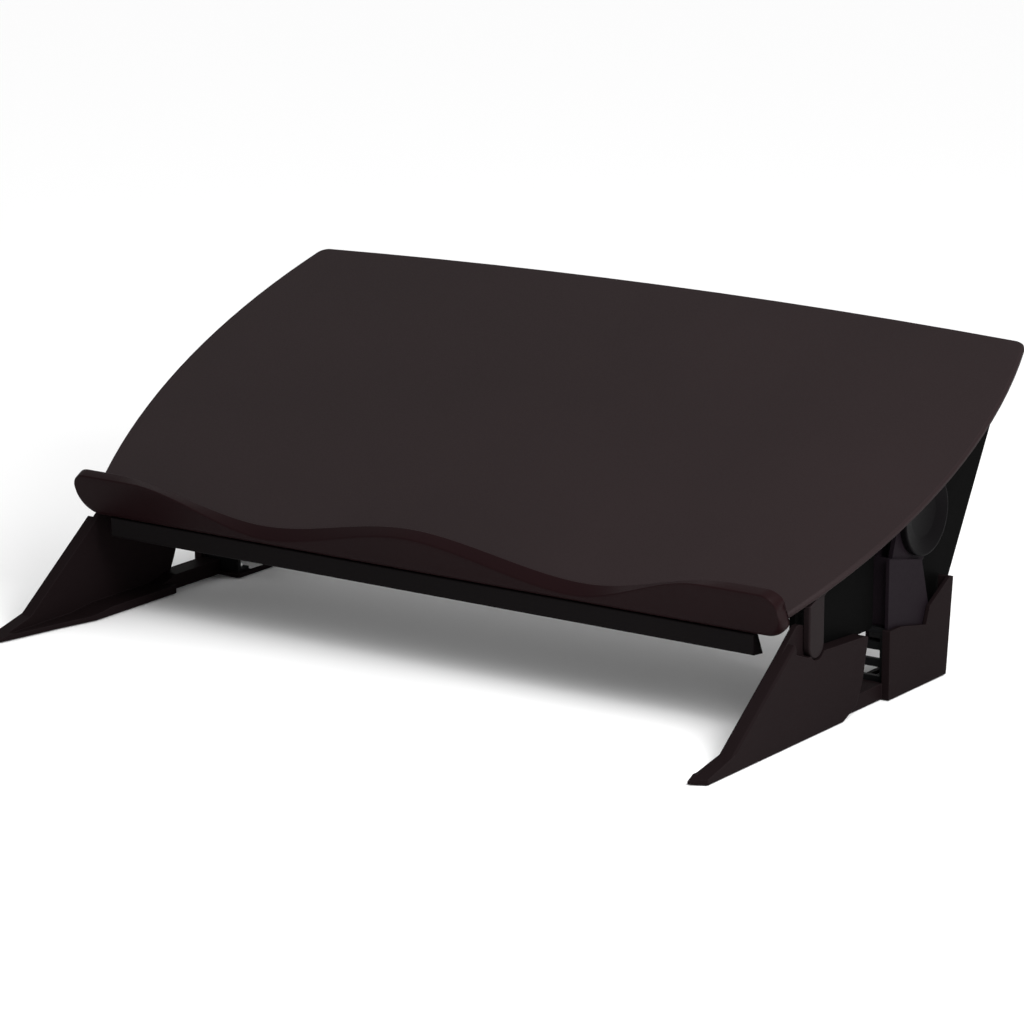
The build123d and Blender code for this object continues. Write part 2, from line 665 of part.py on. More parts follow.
# ---- lift arm that stands in the rear housing --------------------------
latch_z = slot_rows[-1]
chamber_h = 6.6
chamber_low = latch_z - chamber_h / 2
arm_low = chamber_low - 2.4
arm_in = 235.0
arm_box_out = ladder_out + 0.3
skin_out = wall_in - GAP
skin_front = HOUSING_FRONT + 2.2 + GAP
skin_rear = HUB_Y + 7.0
box_front = LADDER_Y + LADDER_T + 1.0
box_rear = HUB_Y - 2.0
arm_top_front, arm_top_rear = 84.0, 75.5
arm_wall = 2.4
cheek_t = 3.0
cheek_out_in = BRACKET_OUT + 1.3
cheek_in_in = plate_in - 2.0 - cheek_t


def arm_top(y):
    """The column's top slopes down to the rear."""
    return arm_top_front + (y - skin_front) * (arm_top_rear - arm_top_front) / (HUB_Y - skin_front)


def cheek(x):
    """Outline of an ear round the hub that grows out of the column's top."""
    with BuildSketch(side_plane(x)) as ear:
        with BuildLine():
            Polyline(
                (box_front, arm_top(box_front) - 6),
                (HUB_Y - HUB_R + 3, HUB_Z + 10),
                (HUB_Y, HUB_Z),
                (HUB_Y + HUB_R - 6, HUB_Z - 15),
                (box_rear, arm_top(box_rear) - 6),
                close=True,
            )
        make_face()
        with Locations((HUB_Y, HUB_Z)):
            Circle(HUB_R)
    return ear.sketch


with BuildPart() as lift_arm_right:
    with BuildSketch(side_plane(arm_in)):
        with BuildLine():
            Polyline(
                (box_front, arm_low),
                (box_front, arm_top(box_front)),
                (box_rear, arm_top(box_rear)),
                (box_rear, arm_low),
                close=True,
            )
        make_face()
    extrude(amount=arm_box_out - arm_in)
    # the upper half is a moulded channel, open to the inside, with one rib
    with BuildSketch(side_plane(arm_in)):
        with BuildLine():
            Polyline(
                (box_front + arm_wall, chamber_low + chamber_h + 2),
                (box_front + arm_wall, arm_top(box_front + arm_wall) - arm_wall),
                (box_rear - arm_wall, arm_top(box_rear - arm_wall) - arm_wall),
                (box_rear - arm_wall, chamber_low + chamber_h + 2),
                close=True,
            )
        make_face()
        with Locations(((box_front + box_rear) / 2, 60)):
            Rectangle(2, 60, mode=Mode.SUBTRACT)
    extrude(amount=arm_box_out - arm_in - arm_wall, mode=Mode.SUBTRACT)
    # skin whose front edge lines up with the housing's post
    with BuildSketch(side_plane(arm_box_out)):
        with BuildLine():
            Polyline(
                (skin_front, arm_low + 4),
                (skin_front, arm_top(skin_front)),
                (box_rear, arm_top(box_rear)),
                (skin_rear, 46),
                (skin_rear, arm_low + 4),
                close=True,
            )
        make_face()
    extrude(amount=skin_out - arm_box_out)
    extrude(cheek(cheek_out_in), amount=cheek_t)
    extrude(cheek(cheek_in_in), amount=cheek_t)
    # chamber that the latch slides in, with its window and the slot for its tab
    with BuildSketch(level_plane(chamber_low)):
        with Locations(((arm_in + arm_box_out) / 2, (box_front + box_rear) / 2)):
            Rectangle(arm_box_out - arm_in - 2 * arm_wall, box_rear - box_front - 2 * arm_wall)
        with Locations(((arm_in + arm_box_out) / 2, box_front + 2)):
            Rectangle(arm_box_out - arm_in - 2 * arm_wall, 6)
        with Locations((arm_in + 1, box_front + 11)):
            Rectangle(6, 15)
    extrude(amount=chamber_h, mode=Mode.SUBTRACT)
    with BuildSketch(side_plane(arm_in)):
        with Locations((HUB_Y, HUB_Z)):
            Circle(HUB_PIN_R + FIT)
    extrude(amount=LEG_OUT - arm_in, mode=Mode.SUBTRACT)
save_pair(lift_arm_right.part, "lift_arm")

hub_face = cheek_out_in + cheek_t
cap_t, dish_depth = 4.2, 2.6
with BuildPart() as hub_cap_right:
    with BuildSketch(side_plane(hub_face)):
        with Locations((HUB_Y, HUB_Z)):
            Circle(HUB_R)
    extrude(amount=cap_t)
    # shallow cone that leaves a narrow rim
    with BuildSketch(side_plane(hub_face + cap_t)):
        with Locations((HUB_Y, HUB_Z)):
            Circle(HUB_R - 1.8)
    with BuildSketch(side_plane(hub_face + cap_t - dish_depth)):
        with Locations((HUB_Y, HUB_Z)):
            Circle(14)
    loft(mode=Mode.SUBTRACT)
    with BuildSketch(side_plane(hub_face)):
        with Locations((HUB_Y, HUB_Z)):
            Circle(HUB_PIN_R + FIT)
    extrude(amount=0.8, mode=Mode.SUBTRACT)
save_pair(hub_cap_right.part, "hub_cap")

with BuildPart() as hub_pin_right:
    with BuildSketch(side_plane(cheek_in_in - 1.8)):
        with Locations((HUB_Y, HUB_Z)):
            Circle(6.5)
    extrude(amount=1.8)
    with BuildSketch(side_plane(cheek_in_in)):
        with Locations((HUB_Y, HUB_Z)):
            Circle(HUB_PIN_R)
    extrude(amount=hub_face + 0.6 - cheek_in_in)
save_pair(hub_pin_right.part, "hub_pin")

# ---- latch --------------------------------------------------------------
tongue_tip = LADDER_Y + LADDER_T + 0.6
block_front, block_back = box_front + arm_wall + 3.2, box_front + arm_wall + 20.0
tongue_out = slot_mid_x + slot_w / 2 - 0.6
latch_in = arm_in + arm_wall + GAP
latch_out = arm_box_out - arm_wall - GAP
with BuildPart() as latch_right:
    with BuildSketch(level_plane(chamber_low + GAP)):
        with Locations(((latch_in + latch_out) / 2, (block_front + block_back) / 2)):
            Rectangle(latch_out - latch_in, block_back - block_front)
        with Locations((latch_in - 3.5, (block_front + block_back) / 2)):
            RectangleRounded(9, 8, 1.5)
    extrude(amount=chamber_h - 2 * GAP)
    with BuildSketch(level_plane(latch_z - LATCH_TONGUE_T / 2)):
        with Locations(((latch_in + tongue_out) / 2, (tongue_tip + block_front) / 2)):
            Rectangle(tongue_out - latch_in, block_front - tongue_tip)
    extrude(amount=LATCH_TONGUE_T)
save_pair(latch_right.part, "latch")

# folded leaf spring between the latch and the arm's rear wall
leaf_t = 0.5
leaf_w = 6.0
spring_front = block_back + leaf_t / 2 + 0.1
spring_back = box_rear - arm_wall - leaf_t / 2 - 0.1
fold_ys = [spring_front + i * (spring_back - spring_front) / 4 for i in range(5)]
with BuildPart() as latch_spring_right:
    with BuildSketch(side_plane((latch_in + latch_out - leaf_w) / 2)):
        with BuildLine():
            Polyline(*[(y, latch_z + (2.2 if i % 2 else -2.2)) for i, y in enumerate(fold_ys)])
        trace(line_width=leaf_t)
    extrude(amount=leaf_w)
save_pair(latch_spring_right.part, "latch_spring")

# ---- front pivot --------------------------------------------------------
pin_head_t = 2.2
ear_in, ear_out = upright_in + LUG_T + 0.5, LEG_OUT - 0.7
with BuildPart() as pivot_pin_right:
    with BuildSketch(side_plane(plate_in - pin_head_t)):
        with Locations((PIVOT_Y, PIVOT_Z)):
            Circle(7)
    extrude(amount=pin_head_t)
    with BuildSketch(side_plane(plate_in)):
        with Locations((PIVOT_Y, PIVOT_Z)):
            Circle(PIVOT_R)
    extrude(amount=ear_in + 2.7 - plate_in)
save_pair(pivot_pin_right.part, "pivot_pin")

# ear outside the leg's lug, on a foot that is screwed under the board
with BuildPart() as pivot_ear_right:
    ear_front, ear_rear = PIVOT_Y - EAR_R, PIVOT_Y + EAR_R
    with BuildSketch(side_plane(ear_in)):
        with BuildLine():
            Polyline(
                (ear_front, PIVOT_Z),
                (ear_front, under_board(ear_front)),
                (ear_rear, under_board(ear_rear)),
                (ear_rear, PIVOT_Z),
                close=True,
            )
        make_face()
        with Locations((PIVOT_Y, PIVOT_Z)):
            Circle(EAR_R)
    extrude(amount=ear_out - ear_in)
    outer = pivot_ear_right.faces().sort_by(Axis.X)[-1]
    fillet(outer.edges().sort_by(Axis.Z)[:-1], 1)
    foot_in = BRACKET_OUT + GAP
    foot_front, foot_back = 28.0, 66.0
    with BuildSketch(board_plane.offset(-BOARD_T)):
        with Locations(((foot_in + ear_out) / 2, (foot_front + foot_back) / 2)):
            Rectangle(ear_out - foot_in, foot_back - foot_front)
    extrude(amount=-BRACKET_FLANGE_T)
    with BuildSketch(board_plane.offset(-BOARD_T)):
        with Locations(ear_screw):
            Circle(SCREW_R + FIT)
    extrude(amount=-BRACKET_FLANGE_T, mode=Mode.SUBTRACT)
    with BuildSketch(side_plane(ear_in)):
        with Locations((PIVOT_Y, PIVOT_Z)):
            Circle(PIVOT_R + FIT)
    extrude(amount=3, mode=Mode.SUBTRACT)
save_pair(pivot_ear_right.part, "pivot_ear")

# ---- screws -------------------------------------------------------------


def pan_screws(seat, spots, grip):
    """Pan-head screws seated on a plane whose normal points out of the heads."""
    with BuildPart() as screws:
        with BuildSketch(seat):
            with Locations(*spots):
                Circle(HEAD_R)
        extrude(amount=HEAD_H)
        heads = screws.faces().group_by(Axis((0, 0, 0), seat.z_dir))[-1]
        chamfer(heads.edges(), 0.6)
        with BuildSketch(seat):
            with Locations(*spots):
                Circle(SCREW_R)
        extrude(amount=-grip)
    return screws.part


def seat_below(depth):
    """Plane parallel to the board, facing down: local y runs down the slope."""
    return Plane(
        origin=board_plane.offset(-depth).origin,
        x_dir=(1, 0, 0),
        z_dir=(0, SLOPE_SIN, -SLOPE_COS),
    )


def flipped(spots):
    return [(x, -s) for x, s in spots]


bracket_spots = both_sides(flange_screw_x, flange_screw_rows) + both_sides(ear_screw[0], (ear_screw[1],))
runner_spots = both_sides(runner_screw_x, runner_rows)
ledge_spots = [(x, ledge_screw_s) for x in ledge_screw_xs]
stop_spots = [(-12.0, stop_s), (12.0, stop_s)]

flange_seat = BOARD_T + BRACKET_FLANGE_T
save(pan_screws(seat_below(flange_seat), flipped(bracket_spots), BRACKET_FLANGE_T + SCREW_BITE),
     "bracket_screws")
save(pan_screws(seat_below(BOARD_T + 2), flipped(runner_spots), 2 + SCREW_BITE), "runner_screws")
save(pan_screws(seat_below(LEDGE_LOW), flipped(ledge_spots), LEDGE_LOW - BOARD_T + SCREW_BITE),
     "ledge_screws")
stop_seat = TRAY_TOP - 0.7 - HEAD_H - 0.2
save(pan_screws(seat_below(stop_seat), flipped(stop_spots), stop_seat - BOARD_T + SCREW_BITE),
     "stop_screws")

inner_face = Plane(
    origin=slope_face(front_back_s + TRAY_WALL).origin,
    x_dir=(1, 0, 0),
    z_dir=(0, SLOPE_COS, SLOPE_SIN),
)
save(pan_screws(inner_face, [(x, -front_screw_h) for x in front_screw_xs], TRAY_WALL + 2.6),
     "drawer_front_screws")
ladder_seat = level_plane(base_top + 2)
save_pair(
    pan_screws(ladder_seat, [(x, ladder_screw_y) for x in ladder_screw_xs], base_t + 2), "ladder_screws"
)
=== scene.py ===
from math import cos, pi, radians, sin

import bmesh
import bpy
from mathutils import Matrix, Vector


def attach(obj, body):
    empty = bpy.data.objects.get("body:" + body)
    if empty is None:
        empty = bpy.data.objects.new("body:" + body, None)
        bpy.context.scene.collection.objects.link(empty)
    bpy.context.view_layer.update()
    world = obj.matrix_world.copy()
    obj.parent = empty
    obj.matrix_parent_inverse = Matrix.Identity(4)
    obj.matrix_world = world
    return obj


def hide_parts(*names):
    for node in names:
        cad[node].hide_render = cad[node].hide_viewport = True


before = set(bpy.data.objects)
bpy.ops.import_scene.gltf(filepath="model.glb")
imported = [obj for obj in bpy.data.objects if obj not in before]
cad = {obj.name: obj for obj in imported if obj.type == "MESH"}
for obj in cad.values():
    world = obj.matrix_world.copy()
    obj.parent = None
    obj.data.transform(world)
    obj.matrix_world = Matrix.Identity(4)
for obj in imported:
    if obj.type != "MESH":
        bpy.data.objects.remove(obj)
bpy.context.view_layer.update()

# ---- reading board -------------------------------------------------------
# One wide sloping panel, injection moulded in ABS with a spark-eroded face. Its sides
# bow outwards, and everything else is screwed to its ribbed underside.
MM = 0.001
TILT = radians(24.3)                     # slope of the board at rest
STOP_HEIGHT = 73.2                       # foot of the slope, where the ledge stands, over the desk
TOE_REACH, BOARD_LENGTH, BOARD_T = 92.0, 287.0, 5.0
STOP_Y = (TOE_REACH - BOARD_LENGTH * cos(TILT) - BOARD_T * sin(TILT)) / 2
FLOW_MM = 110                            # width of the clouds that the melt's flow leaves
PIT_DEPTH, EDGE_SOFTNESS = 0.05, 0.7     # depth of the grain, and width of softened edges with a painted highlight


def linear(hex_colour):
    """An sRGB hex colour, turned to the linear light that Blender works in."""
    shares = [int(hex_colour[i : i + 2], 16) / 255 for i in (1, 3, 5)]
    return [s / 12.92 if s <= 0.04045 else ((s + 0.055) / 1.055) ** 2.4 for s in shares] + [1.0]


def add(tree, kind, feeds=None, **settings):
    """Adds one node to a tree, with its settings and its sockets' values or links."""
    made = tree.nodes.new(kind)
    for name, value in settings.items():
        setattr(made, name, value)
    for socket, value in (feeds or {}).items():
        if isinstance(value, bpy.types.NodeSocket):
            tree.links.new(value, made.inputs[socket])
        else:
            made.inputs[socket].default_value = value
    return made


def moulded_abs(name, low, high, grain_mm, roughness, specular, edge_highlight="#3d3436"):
    """ABS from a spark-eroded mould: faint flow clouds, fine pits, and a painted highlight on its
    edges.
    """
    made = bpy.data.materials.new(name)
    made.use_nodes = True
    tree = made.node_tree
    tree.nodes.clear()
    place = add(tree, "ShaderNodeTexCoord").outputs["Object"]
    flow = add(
        tree, "ShaderNodeTexNoise", {"Vector": place, "Scale": 1000 / FLOW_MM, "Detail": 3.0}
    )
    tone = add(
        tree, "ShaderNodeMix",
        {"Factor": flow.outputs["Fac"], "A": linear(low), "B": linear(high)},
        data_type="RGBA",
    )
    # the real pits are about 0.1 mm; drawn coarser, or they would not show
    pits = add(
        tree, "ShaderNodeTexNoise", {"Vector": place, "Scale": 1000 / grain_mm, "Detail": 2.0}
    )
    soft = add(tree, "ShaderNodeBevel", {"Radius": EDGE_SOFTNESS * MM}, samples=6)
    bump = add(
        tree, "ShaderNodeBump",
        {"Height": pits.outputs["Fac"], "Distance": PIT_DEPTH * MM, "Strength": 0.6,
         "Normal": soft.outputs["Normal"]},
    )
    # where the softened normal leaves the true one there is an edge, painted a little paler as a
    # highlight
    true_normal = add(tree, "ShaderNodeNewGeometry").outputs["Normal"]
    agree = add(
        tree, "ShaderNodeVectorMath", {0: soft.outputs["Normal"], 1: true_normal},
        operation="DOT_PRODUCT",
    )
    painted_highlight_mask = add(
        tree, "ShaderNodeMapRange",
        {"Value": agree.outputs["Value"], "From Min": 0.98, "From Max": 0.78, "To Min": 0.0,
         "To Max": 0.5},
    )
    highlighted_tone = add(
        tree, "ShaderNodeMix",
        {"Factor": painted_highlight_mask.outputs["Result"], "A": tone.outputs["Result"], "B": linear(edge_highlight)},
        data_type="RGBA",
    )
    # the pits' floors are glossier than the skin between them
    gloss = add(
        tree, "ShaderNodeMapRange",
        {"Value": pits.outputs["Fac"], "From Min": 0.3, "From Max": 0.7,
         "To Min": roughness - 0.05, "To Max": roughness + 0.07},
    )
    skin = add(
        tree, "ShaderNodeBsdfPrincipled",
        {"Base Color": highlighted_tone.outputs["Result"], "Roughness": gloss.outputs["Result"],
         "Specular IOR Level": specular, "Normal": bump.outputs["Normal"]},
    )
    add(tree, "ShaderNodeOutputMaterial", {"Surface": skin.outputs["BSDF"]})
    return made


def finish_node(node, material):
    """Gives a carried-over CAD node its material."""
    cad[node].data.materials.clear()
    cad[node].data.materials.append(material)


# satin, slightly warm brown-black with a fine even grain
board_abs = moulded_abs(
    "spark_eroded_abs_board", "#1d1516", "#22191a", grain_mm=0.9, roughness=0.48, specular=0.05
)
finish_node("reading_board", board_abs)

# ---- side plates and front pivots ----------------------------------------
# Deep flat plates screwed under the board's edges, in ABS coloured near black as painted shade.
# Each carries a turned steel pin, held from outside by a small ear under the board.
PIVOT_Y, PIVOT_Z, PIVOT_R = 27.0, 53.0, 4.5
WAVE_REPEAT = 100 * pi                   # a wave texture of scale 1 repeats every 314 mm
STAIN_MM, TOOL_MARK_DEPTH = 6.0, 0.02

# the dullest moulding, with a fine texture and almost no highlight; its colour is darkened nearly
# to black as painted shade
shade_painted_plate_abs = moulded_abs(
    "fine_textured_abs_plate_painted_shade", "#040404", "#060606", grain_mm=0.7, roughness=0.6, specular=0.01,
    edge_highlight="#0e0e0f",
)
# smoother than the plates, a warm black with a faint sheen
ear_abs = moulded_abs(
    "smooth_abs_ear", "#151011", "#1a1415", grain_mm=0.6, roughness=0.4, specular=0.02
)
for side in ("left", "right"):
    finish_node(f"bracket_{side}", shade_painted_plate_abs)
    finish_node(f"pivot_ear_{side}", ear_abs)


def lined_steel(name, colour, line_mm, roughness):
    """Bare steel with fine lines across its length, from a lathe's tool or from the rolls."""
    made = bpy.data.materials.new(name)
    made.use_nodes = True
    tree = made.node_tree
    tree.nodes.clear()
    place = add(tree, "ShaderNodeTexCoord").outputs["Object"]
    # real lines are about 0.1 mm apart; drawn coarser, or they would not show
    lines = add(
        tree, "ShaderNodeTexWave",
        {"Vector": place, "Scale": WAVE_REPEAT / line_mm, "Distortion": 0.4, "Detail": 1.0},
        wave_type="BANDS", bands_direction="X",
    )
    stain = add(
        tree, "ShaderNodeTexNoise", {"Vector": place, "Scale": 1000 / STAIN_MM, "Detail": 3.0}
    )
    tone = add(
        tree, "ShaderNodeMix",
        {"Factor": stain.outputs["Fac"], "A": linear(colour), "B": linear("#8d8f92")},
        data_type="RGBA",
    )
    bump = add(
        tree, "ShaderNodeBump",
        {"Height": lines.outputs["Fac"], "Distance": TOOL_MARK_DEPTH * MM, "Strength": 0.5},
    )
    skin = add(
        tree, "ShaderNodeBsdfPrincipled",
        {"Base Color": tone.outputs["Result"], "Metallic": 1.0, "Roughness": roughness,
         "Normal": bump.outputs["Normal"]},
    )
    add(tree, "ShaderNodeOutputMaterial", {"Surface": skin.outputs["BSDF"]})
    return made


def turn_piece(node, body, material, profile, y, z, sides=72):
    """Turns a closed (x, radius) profile about a pin's axis, in place of the node."""
    angles = [2 * pi * i / sides for i in range(sides)]
    work = bmesh.new()
    loops = []
    for x, radius in profile:
        spots = [(y + radius * cos(a), z + radius * sin(a)) for a in (angles if radius else [0.0])]
        loops.append([work.verts.new((x * MM, (STOP_Y + b) * MM, c * MM)) for b, c in spots])
    for lower, upper in zip(loops, loops[1:]):
        for i in range(sides):
            j = (i + 1) % sides
            corners = [lower[i % len(lower)], lower[j % len(lower)], upper[j % len(upper)],
                       upper[i % len(upper)]]
            work.faces.new(list(dict.fromkeys(corners)))
    bmesh.ops.recalc_face_normals(work, faces=work.faces)
    mesh = bpy.data.meshes.new(node)
    work.to_mesh(mesh)
    work.free()
    mesh.materials.append(material)
    mesh.polygons.foreach_set("use_smooth", [True] * len(mesh.polygons))
    mesh.set_sharp_from_angle(angle=radians(28))
    piece = bpy.data.objects.new(f"{node}_turned", mesh)
    bpy.context.collection.objects.link(piece)
    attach(piece, body)
    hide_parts(node)


def turned_pin(head_at, head_t, head_r, shank_r, tip, chamfer=0.5):
    """Profile of a headed pin with a small chamfer on every outer edge."""
    return [
        (head_at, 0), (head_at, head_r - chamfer), (head_at + chamfer, head_r),
        (head_at + head_t, head_r), (head_at + head_t, shank_r), (tip - chamfer, shank_r),
        (tip, shank_r - chamfer), (tip, 0),
    ]


# bright steel off a lathe, with fine rings that catch the light
pin_steel = lined_steel("turned_steel_pin", "#b4b6ba", line_mm=0.754, roughness=0.3)
pivot_profile = turned_pin(head_at=240.3, head_t=2.2, head_r=7.0, shank_r=PIVOT_R, tip=254.0)
for side, sign in (("left", -1), ("right", 1)):
    profile = [(sign * x, radius) for x, radius in pivot_profile]
    turn_piece(f"pivot_pin_{side}", "board", pin_steel, profile, PIVOT_Y, PIVOT_Z)

# ---- drawer runners and stop ---------------------------------------------
# Two rails and a block, moulded in plain black ABS and screwed under the board. The
# tray's rims slide on the rails, and its rear tab meets the block.

# slightly glossier than the textured pieces
runner_abs = moulded_abs(
    "natural_black_abs_runner", "#0f0e0f", "#141314", grain_mm=0.7, roughness=0.42, specular=0.12
)
for node in ("drawer_runner_left", "drawer_runner_right", "drawer_stop"):
    finish_node(node, runner_abs)

# ---- drawer --------------------------------------------------------------
# A shallow tray moulded in black ABS, with an upright front strip screwed to it. The
# strip shows as the straight, square-ended dark band below the wavy ledge.

# an even neutral black that shows soft light on the tray's floor
tray_abs = moulded_abs(
    "fine_textured_abs_tray", "#100f10", "#151414", grain_mm=0.8, roughness=0.5, specular=0.12
)
finish_node("drawer_tray", tray_abs)
# almost black satin, darker than the ledge above it
front_abs = moulded_abs(
    "satin_abs_drawer_front", "#0a0808", "#0e0b0c", grain_mm=0.9, roughness=0.5, specular=0.03,
    edge_highlight="#1b1718",
)
finish_node("drawer_front", front_abs)

# ---- page ledge ----------------------------------------------------------
# The thick lip along the board's front, moulded in ABS and screwed on from below. Its top
# edge runs in one long wave with two finger dips, its face rolls under, its ends are round.
LEDGE_HALF, LEDGE_DEPTH, LEDGE_LOW, LEDGE_ROLL = 254.0, 8.0, 10.5, 6.0
FOOT_DEPTH, FOOT_HALF, FOOT_TAPER = 12.0, 225.0, 1.0      # the foot stops short of the ends
SECTION_TOP, EDGE_R = 12.0, 0.9          # the section is drawn with a plain 12 mm wall
WALL_ROWS, ROLL_STEPS, EDGE_STEPS = 6, 12, 5
END_TOP_R, END_LOW_R, END_EDGE_R = 10.0, 13.0, 1.4
FRONT_TRIM = 1.5                         # the face is this much shorter at each end
LEDGE_STEPS, CROWDING = 420, 0.5         # rows along the sweep, and how they crowd to the ends

# satin with a warm red-brown cast; the top edge has a painted paler highlight
ledge_abs = moulded_abs(
    "satin_abs_ledge", "#13090a", "#190b0d", grain_mm=0.9, roughness=0.42, specular=0.03,
    edge_highlight="#3a2f31",
)


def arc(middle_s, middle_h, radius, start, end, steps):
    """Points (s, h) along an arc, with its angles in degrees."""
    turns = [radians(start + (end - start) * i / steps) for i in range(steps + 1)]
    return [(middle_s + radius * cos(t), middle_h + radius * sin(t)) for t in turns]


wall_foot, wall_top = LEDGE_ROLL - LEDGE_LOW, SECTION_TOP - EDGE_R
rows = [wall_foot + (wall_top - wall_foot) * i / WALL_ROWS for i in range(1, WALL_ROWS)]
section = [(0.0, -BOARD_T), (FOOT_DEPTH, -BOARD_T), (FOOT_DEPTH, -LEDGE_LOW), (0.0, -LEDGE_LOW)]
section += arc(LEDGE_ROLL - LEDGE_DEPTH, wall_foot, LEDGE_ROLL, 270, 180, ROLL_STEPS)
section += [(-LEDGE_DEPTH, h) for h in rows]
section += arc(EDGE_R - LEDGE_DEPTH, wall_top, EDGE_R, 180, 90, EDGE_STEPS)
section += arc(-EDGE_R, wall_top, EDGE_R, 90, 0, EDGE_STEPS)
section += [(0.0, h) for h in reversed(rows)]

# the sweep turns the section half round, so it is drawn upside down and back to front
loop = bpy.data.meshes.new("ledge_section")
count = len(section)
loop.from_pydata(
    [(-s * MM, -h * MM, 0) for s, h in section], [(i, (i + 1) % count) for i in range(count)], []
)
page_ledge = bpy.data.objects.new("page_ledge_wavy", loop)
bpy.context.collection.objects.link(page_ledge)

wavy = bpy.data.node_groups.new("wavy_ledge", "GeometryNodeTree")
wavy.interface.new_socket("Section", in_out="INPUT", socket_type="NodeSocketGeometry")
wavy.interface.new_socket("Ledge", in_out="OUTPUT", socket_type="NodeSocketGeometry")
ledge_sizes = {
    "Half length": LEDGE_HALF, "Depth": LEDGE_DEPTH, "Back crest": 18.5, "Back dip": 0.8,
    "Back end": 20.9, "Back dip at": 116.0, "Back end at": 225.0, "Front crest": 16.6,
    "Front dip": -3.4, "Front end": 21.5, "Front dip at": 112.0, "Front end at": 205.0,
}
for name in ledge_sizes:
    wavy.interface.new_socket(name, in_out="INPUT", socket_type="NodeSocketFloat")
wavy.interface.new_socket("Finish", in_out="INPUT", socket_type="NodeSocketMaterial")
given = add(wavy, "NodeGroupInput").outputs
half = given["Half length"]

# the section is swept along a straight line, with rows that crowd towards the ends
line = add(
    wavy, "GeometryNodeCurvePrimitiveLine",
    {"Start": (-LEDGE_HALF * MM, 0, 0), "End": (LEDGE_HALF * MM, 0, 0)},
)
rail = add(wavy, "GeometryNodeResampleCurve", {"Curve": line.outputs[0], "Count": LEDGE_STEPS})
ring = add(wavy, "GeometryNodeMeshToCurve", {"Mesh": given["Section"]})
swept = add(
    wavy, "GeometryNodeCurveToMesh",
    {"Curve": rail.outputs[0], "Profile Curve": ring.outputs[0], "Fill Caps": True},
)
outwards = add(wavy, "GeometryNodeFlipFaces", {"Mesh": swept.outputs[0]})
point = add(wavy, "ShaderNodeSeparateXYZ", {0: add(wavy, "GeometryNodeInputPosition").outputs[0]})
x, s, h = point.outputs
share = add(wavy, "ShaderNodeMath", {0: x, 1: half}, operation="DIVIDE").outputs[0]
square = add(wavy, "ShaderNodeMath", {0: share, 1: share}, operation="MULTIPLY").outputs[0]
pull = add(
    wavy, "ShaderNodeMath", {0: square, 1: -CROWDING, 2: 1 + CROWDING}, operation="MULTIPLY_ADD"
).outputs[0]
crowded = add(wavy, "ShaderNodeMath", {0: x, 1: pull}, operation="MULTIPLY").outputs[0]
spaced = add(
    wavy, "GeometryNodeSetPosition",
    {"Geometry": outwards.outputs[0],
     "Position": add(wavy, "ShaderNodeCombineXYZ", {0: crowded, 1: s, 2: h}).outputs[0]},
)
away = add(wavy, "ShaderNodeMath", {0: x}, operation="ABSOLUTE").outputs[0]
ahead = add(wavy, "ShaderNodeMath", {0: s, 1: -1.0}, operation="MULTIPLY").outputs[0]


def top_edge(which):
    """Height of the ledge's top edge: half a wave down to the dip, another up to the end."""
    down = add(
        wavy, "ShaderNodeMapRange",
        {"Value": away, "From Max": given[f"{which} dip at"], "To Min": given[f"{which} crest"],
         "To Max": given[f"{which} dip"]},
        interpolation_type="SMOOTHSTEP",
    )
    gain = add(
        wavy, "ShaderNodeMath", {0: given[f"{which} end"], 1: given[f"{which} dip"]},
        operation="SUBTRACT",
    )
    up = add(
        wavy, "ShaderNodeMapRange",
        {"Value": away, "From Min": given[f"{which} dip at"], "From Max": given[f"{which} end at"],
         "To Min": 0.0, "To Max": gain.outputs[0]},
        interpolation_type="SMOOTHSTEP",
    )
    return add(
        wavy, "ShaderNodeMath", {0: down.outputs["Result"], 1: up.outputs["Result"]},
        operation="ADD",
    ).outputs[0]


def end_round(radius):
    """How far a corner of this radius falls away as x nears the ledge's end."""
    radius = radius * MM
    start = add(wavy, "ShaderNodeMath", {0: half, 1: radius}, operation="SUBTRACT").outputs[0]
    past = add(wavy, "ShaderNodeMath", {0: away, 1: start}, operation="SUBTRACT").outputs[0]
    into = add(wavy, "ShaderNodeMath", {0: past, 1: 0.0}, operation="MAXIMUM").outputs[0]
    inside = add(wavy, "ShaderNodeMath", {0: into, 1: radius}, operation="MINIMUM").outputs[0]
    squared = add(wavy, "ShaderNodeMath", {0: inside, 1: inside}, operation="MULTIPLY").outputs[0]
    rest = add(wavy, "ShaderNodeMath", {0: radius**2, 1: squared}, operation="SUBTRACT").outputs[0]
    height = add(wavy, "ShaderNodeMath", {0: rest}, operation="SQRT").outputs[0]
    return add(wavy, "ShaderNodeMath", {0: radius, 1: height}, operation="SUBTRACT").outputs[0]


# the wall is stretched up to the wave, which changes from its back line to its front line
top = add(
    wavy, "ShaderNodeMapRange",
    {"Value": ahead, "From Max": given["Depth"], "To Min": top_edge("Back"),
     "To Max": top_edge("Front")},
).outputs["Result"]
rounded_top = add(wavy, "ShaderNodeMath", {0: top, 1: end_round(END_TOP_R)}, operation="SUBTRACT")
lift = add(
    wavy, "ShaderNodeMath", {0: rounded_top.outputs[0], 1: SECTION_TOP * MM}, operation="SUBTRACT"
).outputs[0]
moved = add(
    wavy, "ShaderNodeMapRange",
    {"Value": h, "From Min": wall_foot * MM, "From Max": wall_top * MM,
     "To Min": end_round(END_LOW_R), "To Max": lift},
).outputs["Result"]
new_h = add(wavy, "ShaderNodeMath", {0: h, 1: moved}, operation="ADD").outputs[0]
foot_limit = add(
    wavy, "ShaderNodeMapRange",
    {"Value": away, "From Min": (FOOT_HALF - FOOT_TAPER) * MM, "From Max": FOOT_HALF * MM,
     "To Min": FOOT_DEPTH * MM, "To Max": 0.0},
).outputs["Result"]
